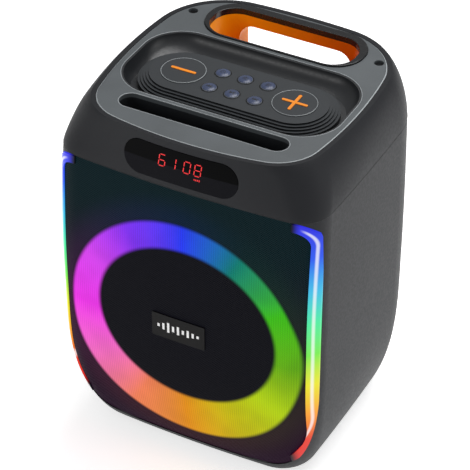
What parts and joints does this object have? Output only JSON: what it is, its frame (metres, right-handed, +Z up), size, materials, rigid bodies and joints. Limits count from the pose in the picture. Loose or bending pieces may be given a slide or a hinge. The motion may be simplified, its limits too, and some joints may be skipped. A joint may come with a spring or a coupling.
{
  "type": "party speaker",
  "caption": "Portable party speaker: rounded cabinet, lit ring and side bars behind a mesh front, top control dish, tablet slot and carry handle.",
  "frame": {"origin": "centre of the footprint, on the surface the feet stand on", "axes": "+Z up, front (mesh and display) towards -Y, +X to the right seen from the front"},
  "size_m": [0.247, 0.2281, 0.3316],
  "materials": {
    "badge_black": "satin",
    "baffle_board": "black stained fibreboard",
    "board_green": "solder mask",
    "cell_wrap": "shrink wrap",
    "coil_aluminium": "rolled",
    "cone_paper": "pressed paper",
    "diffuser_white": "frosted",
    "dish_black": "satin",
    "ferrite": "ground",
    "foam_black": "matte",
    "foot_rubber": "matte",
    "frame_black": "matte",
    "inlay_orange": "satin",
    "island_grey": "satin",
    "key_slate": "satin translucent silicone",
    "led_white": "clear",
    "light_pipe": "frosted",
    "liner_orange": "satin",
    "lip_black": "semi-gloss",
    "mesh_black": "satin perforated sheet",
    "panel_grey": "satin",
    "shell_black": "fine moulded texture",
    "sink_aluminium": "extruded",
    "smoked_window": "polished",
    "socket_black": "satin",
    "spider_cloth": "resin-dipped weave",
    "steel_black": "satin",
    "steel_zinc": "zinc plated",
    "surround_rubber": "satin"
  },
  "bodies": {
    "root": {"amplifier_board": "board_green", "aux_socket": "socket_black", "badge_plate": "badge_black", "baffle": "baffle_board", "bar_led_strips": "board_green", "bass_port": "frame_black", "battery_cells": "cell_wrap", "battery_tray": "frame_black", "cabinet": "shell_black", "charge_socket": "steel_zinc", "control_dish": "dish_black", "control_island": "island_grey", "display_module": "socket_black", "display_window": "smoked_window", "driver_basket": "steel_black", "driver_magnet": "ferrite", "driver_screws": "steel_black", "driver_spider": "spider_cloth", "driver_surround": "surround_rubber", "driver_top_plate": "steel_zinc", "driver_yoke": "steel_zinc", "front_frame": "frame_black", "grille": "mesh_black", "handle_liner": "liner_orange", "handle_lip": "lip_black", "heat_sink": "sink_aluminium", "key_board": "board_green", "left_light_bar": "light_pipe", "light_ring": "diffuser_white", "mic_sockets": "socket_black", "panel_screws": "steel_black", "rear_shell": "shell_black", "right_light_bar": "light_pipe", "ring_board": "board_green", "ring_leds": "led_white", "rubber_feet": "foot_rubber", "seam_gasket": "foam_black", "socket_panel": "frame_black", "tablet_trough": "dish_black", "tact_switches": "socket_black", "top_panel": "panel_grey", "upper_housing": "shell_black", "usb_socket": "steel_zinc"},
    "volume_down": {"volume_down_key": "island_grey", "minus_inlay": "inlay_orange"},
    "volume_up": {"volume_up_key": "island_grey", "plus_inlay": "inlay_orange"},
    "power_button": {"power_key": "key_slate"},
    "light_button": {"light_key": "key_slate"},
    "mode_button": {"mode_key": "key_slate"},
    "previous_button": {"previous_key": "key_slate"},
    "play_button": {"play_key": "key_slate"},
    "next_button": {"next_key": "key_slate"},
    "cone": {"driver_cone": "cone_paper", "dust_cap": "cone_paper", "voice_coil": "coil_aluminium"}
  },
  "joints": [
    {"name": "volume_down_press", "type": "slide", "parent": "root", "child": "volume_down", "axis": [0, 0, -1], "range_m": [0, 0.0008], "stiffness_N_per_m": 900, "springref_m": -0.0006},
    {"name": "volume_up_press", "type": "slide", "parent": "root", "child": "volume_up", "axis": [0, 0, -1], "range_m": [0, 0.0008], "stiffness_N_per_m": 900, "springref_m": -0.0006},
    {"name": "power_press", "type": "slide", "parent": "root", "child": "power_button", "axis": [0, 0, -1], "range_m": [0, 0.0008], "stiffness_N_per_m": 700, "springref_m": -0.0006},
    {"name": "light_press", "type": "slide", "parent": "root", "child": "light_button", "axis": [0, 0, -1], "range_m": [0, 0.0008], "stiffness_N_per_m": 700, "springref_m": -0.0006},
    {"name": "mode_press", "type": "slide", "parent": "root", "child": "mode_button", "axis": [0, 0, -1], "range_m": [0, 0.0008], "stiffness_N_per_m": 700, "springref_m": -0.0006},
    {"name": "previous_press", "type": "slide", "parent": "root", "child": "previous_button", "axis": [0, 0, -1], "range_m": [0, 0.0008], "stiffness_N_per_m": 700, "springref_m": -0.0006},
    {"name": "play_press", "type": "slide", "parent": "root", "child": "play_button", "axis": [0, 0, -1], "range_m": [0, 0.0008], "stiffness_N_per_m": 700, "springref_m": -0.0006},
    {"name": "next_press", "type": "slide", "parent": "root", "child": "next_button", "axis": [0, 0, -1], "range_m": [0, 0.0008], "stiffness_N_per_m": 700, "springref_m": -0.0006},
    {"name": "cone_travel", "type": "slide", "parent": "root", "child": "cone", "axis": [0, -1, 0], "range_m": [-0.003, 0.003], "stiffness_N_per_m": 1500, "deforming": ["driver_surround", "driver_spider"]}
  ]
}
